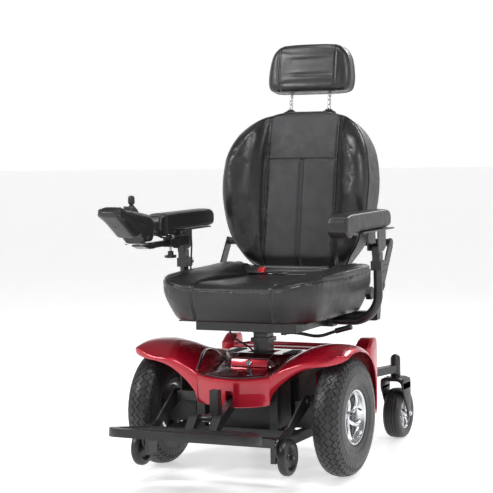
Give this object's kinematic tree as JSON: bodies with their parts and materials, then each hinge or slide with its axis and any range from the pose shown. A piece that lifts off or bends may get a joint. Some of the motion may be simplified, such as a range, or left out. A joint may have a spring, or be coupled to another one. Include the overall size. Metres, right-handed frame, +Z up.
{
  "type": "power wheelchair",
  "caption": "Mid-wheel-drive power wheelchair with a contoured high-back captain's seat, headrest, flip-up armrests, joystick, red shroud and folding footplate.",
  "frame": {"origin": "on the floor under the middle of the chair's outline at rest", "axes": "+Z up, the chair faces -Y, +X is the user's left hand"},
  "size_m": [0.636, 1.1002, 1.1805],
  "materials": {
    "black_frame": "black powder coat, satin",
    "motor_dark": "dark grey cast and painted housing",
    "red_gloss": "candy red metallic lacquer, high gloss",
    "dark_gloss": "black cherry lacquer, high gloss",
    "silver_trim": "bright silver accent",
    "rim_silver": "machined and lacquered",
    "chrome": "polished",
    "tyre_black": "pneumatic tyre rubber",
    "small_tyre": "grey-black rubber",
    "black_plastic": "fine-grained moulded plastic",
    "battery_case": "grey ABS",
    "seat_leather": "black pebbled vinyl, semi-gloss",
    "arm_vinyl": "moulded black polyurethane, fine grain",
    "webbing": "black woven polyester webbing",
    "release_red": "red push button",
    "cable_black": "black PVC jacket",
    "stick_rubber": "soft black rubber"
  },
  "bodies": {
    "chassis": {"chassis_frame": "black_frame", "battery_front": "battery_case", "battery_rear": "battery_case", "drive_motor_left": "motor_dark", "drive_motor_right": "motor_dark", "base_shroud": "red_gloss", "shroud_panel": "dark_gloss", "shroud_trim": "silver_trim", "shroud_lock": "chrome", "rear_shroud": "red_gloss", "seat_post": "black_frame", "footrest_stem": "black_frame", "caster_beam": "black_frame"},
    "drive_wheel_left": {"drive_rim_left": "rim_silver", "drive_tyre_left": "tyre_black"},
    "drive_wheel_right": {"drive_rim_right": "rim_silver", "drive_tyre_right": "tyre_black"},
    "caster_left": {"caster_fork_left": "black_plastic"},
    "caster_right": {"caster_fork_right": "black_plastic"},
    "caster_wheel_left": {"caster_rim_left": "rim_silver", "caster_tyre_left": "small_tyre"},
    "caster_wheel_right": {"caster_rim_right": "rim_silver", "caster_tyre_right": "small_tyre"},
    "antitip_left": {"antitip_arm_left": "black_frame"},
    "antitip_right": {"antitip_arm_right": "black_frame"},
    "antitip_roller_left": {"antitip_wheel_left": "small_tyre"},
    "antitip_roller_right": {"antitip_wheel_right": "small_tyre"},
    "footrest": {"footplate": "black_plastic"},
    "seat": {"swivel_plate": "black_frame", "seat_frame": "black_frame", "seat_cushion": "seat_leather", "arm_tube_left": "black_frame", "arm_tube_right": "black_frame", "arm_knobs": "black_plastic", "seat_belt": "webbing", "belt_buckle": "black_plastic", "seat_cable": "cable_black"},
    "swivel_release": {"swivel_lever": "black_frame"},
    "recline_release": {"recline_lever": "black_plastic"},
    "belt_release": {"belt_button": "release_red"},
    "backrest": {"backrest_frame": "black_frame", "backrest_shell": "seat_leather", "backrest_cushion": "seat_leather", "headrest_guides": "black_plastic"},
    "headrest": {"headrest_posts": "chrome", "headrest_pad": "seat_leather"},
    "armrest_left": {"armrest_bracket_left": "black_frame", "armrest_pad_left": "arm_vinyl"},
    "armrest_right": {"armrest_bracket_right": "black_frame", "armrest_pad_right": "arm_vinyl", "slide_knob": "black_plastic", "arm_cable": "cable_black", "cable_plug": "black_plastic"},
    "controller": {"controller_rail": "black_frame", "controller_housing": "black_plastic", "controller_cable": "cable_black"},
    "joystick_gimbal": {"joystick_yoke": "black_plastic"},
    "joystick_stick": {"joystick": "stick_rubber"},
    "power_switch": {"power_button": "release_red"},
    "speed_knob": {"speed_dial": "black_plastic"}
  },
  "joints": [
    {"name": "drive_left", "type": "hinge", "parent": "chassis", "child": "drive_wheel_left", "pos_m": [0.2735, -0.1, 0.16], "axis": [1, 0, 0], "continuous": true},
    {"name": "drive_right", "type": "hinge", "parent": "chassis", "child": "drive_wheel_right", "pos_m": [-0.2735, -0.1, 0.16], "axis": [1, 0, 0], "continuous": true},
    {"name": "caster_swivel_left", "type": "hinge", "parent": "chassis", "child": "caster_left", "pos_m": [0.218, 0.448, 0.18], "axis": [0, 0, 1], "continuous": true},
    {"name": "caster_swivel_right", "type": "hinge", "parent": "chassis", "child": "caster_right", "pos_m": [-0.218, 0.448, 0.18], "axis": [0, 0, 1], "continuous": true},
    {"name": "caster_roll_left", "type": "hinge", "parent": "caster_left", "child": "caster_wheel_left", "pos_m": [0.218, 0.468, 0.075], "axis": [1, 0, 0], "continuous": true},
    {"name": "caster_roll_right", "type": "hinge", "parent": "caster_right", "child": "caster_wheel_right", "pos_m": [-0.218, 0.468, 0.075], "axis": [1, 0, 0], "continuous": true},
    {"name": "antitip_swing_left", "type": "hinge", "parent": "chassis", "child": "antitip_left", "pos_m": [0.212, -0.17, 0.208], "axis": [-1, 0, 0], "range_deg": [0, 6], "stiffness_Nm_per_rad": 80},
    {"name": "antitip_swing_right", "type": "hinge", "parent": "chassis", "child": "antitip_right", "pos_m": [-0.212, -0.17, 0.208], "axis": [-1, 0, 0], "range_deg": [0, 6], "stiffness_Nm_per_rad": 80},
    {"name": "antitip_roll_left", "type": "hinge", "parent": "antitip_left", "child": "antitip_roller_left", "pos_m": [0.212, -0.339, 0.09], "axis": [1, 0, 0], "continuous": true},
    {"name": "antitip_roll_right", "type": "hinge", "parent": "antitip_right", "child": "antitip_roller_right", "pos_m": [-0.212, -0.339, 0.09], "axis": [1, 0, 0], "continuous": true},
    {"name": "footplate_fold", "type": "hinge", "parent": "chassis", "child": "footrest", "pos_m": [0, -0.37, 0.184], "axis": [-1, 0, 0], "range_deg": [0, 82]},
    {"name": "seat_swivel", "type": "hinge", "parent": "chassis", "child": "seat", "pos_m": [0, -0.013, 0.37], "axis": [0, 0, 1], "range_deg": [-90, 90], "deforming": ["seat_cable"]},
    {"name": "swivel_lift", "type": "hinge", "parent": "seat", "child": "swivel_release", "pos_m": [0.066, -0.013, 0.369], "axis": [0, -1, 0], "range_deg": [0, 8], "stiffness_Nm_per_rad": 2},
    {"name": "recline_lift", "type": "hinge", "parent": "seat", "child": "recline_release", "pos_m": [0.264, 0.232, 0.48], "axis": [-1, 0, 0], "range_deg": [0, 8], "stiffness_Nm_per_rad": 2},
    {"name": "recline", "type": "hinge", "parent": "seat", "child": "backrest", "pos_m": [0, 0.232, 0.48], "axis": [-1, 0, 0], "range_deg": [-30, 28]},
    {"name": "headrest_height", "type": "slide", "parent": "backrest", "child": "headrest", "axis": [0, 0.1668, 0.986], "range_m": [0, 0.07]},
    {"name": "armrest_left_flip", "type": "hinge", "parent": "seat", "child": "armrest_left", "pos_m": [0.3, 0.089, 0.6], "axis": [-1, 0, 0], "range_deg": [0, 90]},
    {"name": "armrest_right_flip", "type": "hinge", "parent": "seat", "child": "armrest_right", "pos_m": [-0.3, 0.089, 0.6], "axis": [-1, 0, 0], "range_deg": [0, 90], "deforming": ["arm_cable"]},
    {"name": "controller_reach", "type": "slide", "parent": "armrest_right", "child": "controller", "axis": [0, -1, 0], "range_m": [0, 0.06], "deforming": ["controller_cable"]},
    {"name": "joystick_fore_aft", "type": "hinge", "parent": "controller", "child": "joystick_gimbal", "pos_m": [-0.275, -0.253, 0.7079], "axis": [1, 0, 0], "range_deg": [-18, 18], "stiffness_Nm_per_rad": 0.4},
    {"name": "joystick_side", "type": "hinge", "parent": "joystick_gimbal", "child": "joystick_stick", "pos_m": [-0.275, -0.253, 0.7079], "axis": [0, 1, 0], "range_deg": [-18, 18], "stiffness_Nm_per_rad": 0.4},
    {"name": "power_press", "type": "slide", "parent": "controller", "child": "power_switch", "axis": [0, -0.1772, -0.9842], "range_m": [0, 0.0015], "stiffness_N_per_m": 400},
    {"name": "speed_turn", "type": "hinge", "parent": "controller", "child": "speed_knob", "pos_m": [-0.259, -0.31, 0.72416], "axis": [0, 0.1772, 0.9842], "range_deg": [-135, 135]},
    {"name": "belt_press", "type": "slide", "parent": "seat", "child": "belt_release", "axis": [-1, 0, 0], "range_m": [0, 0.002], "stiffness_N_per_m": 500}
  ]
}
